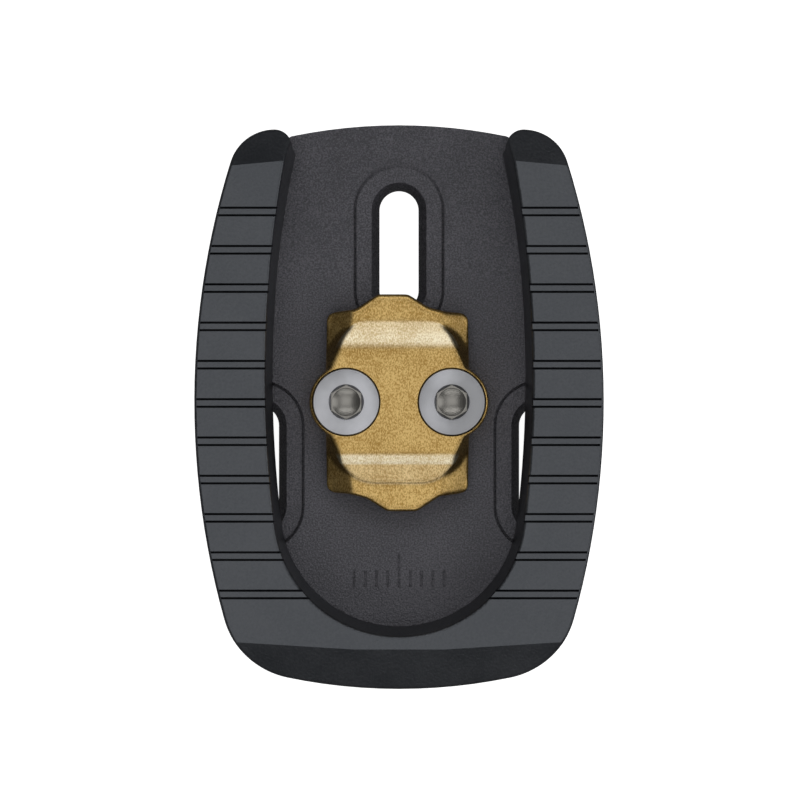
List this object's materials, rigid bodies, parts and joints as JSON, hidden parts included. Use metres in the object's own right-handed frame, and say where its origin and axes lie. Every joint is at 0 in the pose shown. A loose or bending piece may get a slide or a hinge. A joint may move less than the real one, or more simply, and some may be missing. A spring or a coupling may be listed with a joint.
{
  "type": "clipless pedal cleat with shoe adapter",
  "caption": "U-shaped rubber tread over a slotted road-shoe plate, with a brass pedal cleat bolted between its rails",
  "frame": {"origin": "under the middle of the plate, level with its lowest edge, which touches the shoe", "axes": "+Z away from the shoe towards the pedal, +Y to the toe, +X across the shoe, to the right when the pedal side is seen with the toe up"},
  "size_m": [0.0542, 0.075, 0.0134],
  "materials": {
    "plate_nylon": "coarse-grained glass-filled nylon, black",
    "tread_rubber": "smooth matte moulded rubber, black",
    "cleat_brass": "cast and tumbled, satin",
    "bolt_steel": "satin stainless steel",
    "insert_brass": "turned, plain"
  },
  "bodies": {
    "plate": {"base_plate": "plate_nylon", "cleat": "cleat_brass", "cleat_bolt_left": "bolt_steel", "cleat_bolt_right": "bolt_steel", "threaded_insert_left": "insert_brass", "threaded_insert_right": "insert_brass"},
    "tread": {"tread_pad": "tread_rubber"}
  },
  "joints": [
    {"name": "tread_lift", "type": "slide", "parent": "plate", "child": "tread", "axis": [0, 0, 1], "range_m": [0, 0.02]}
  ]
}
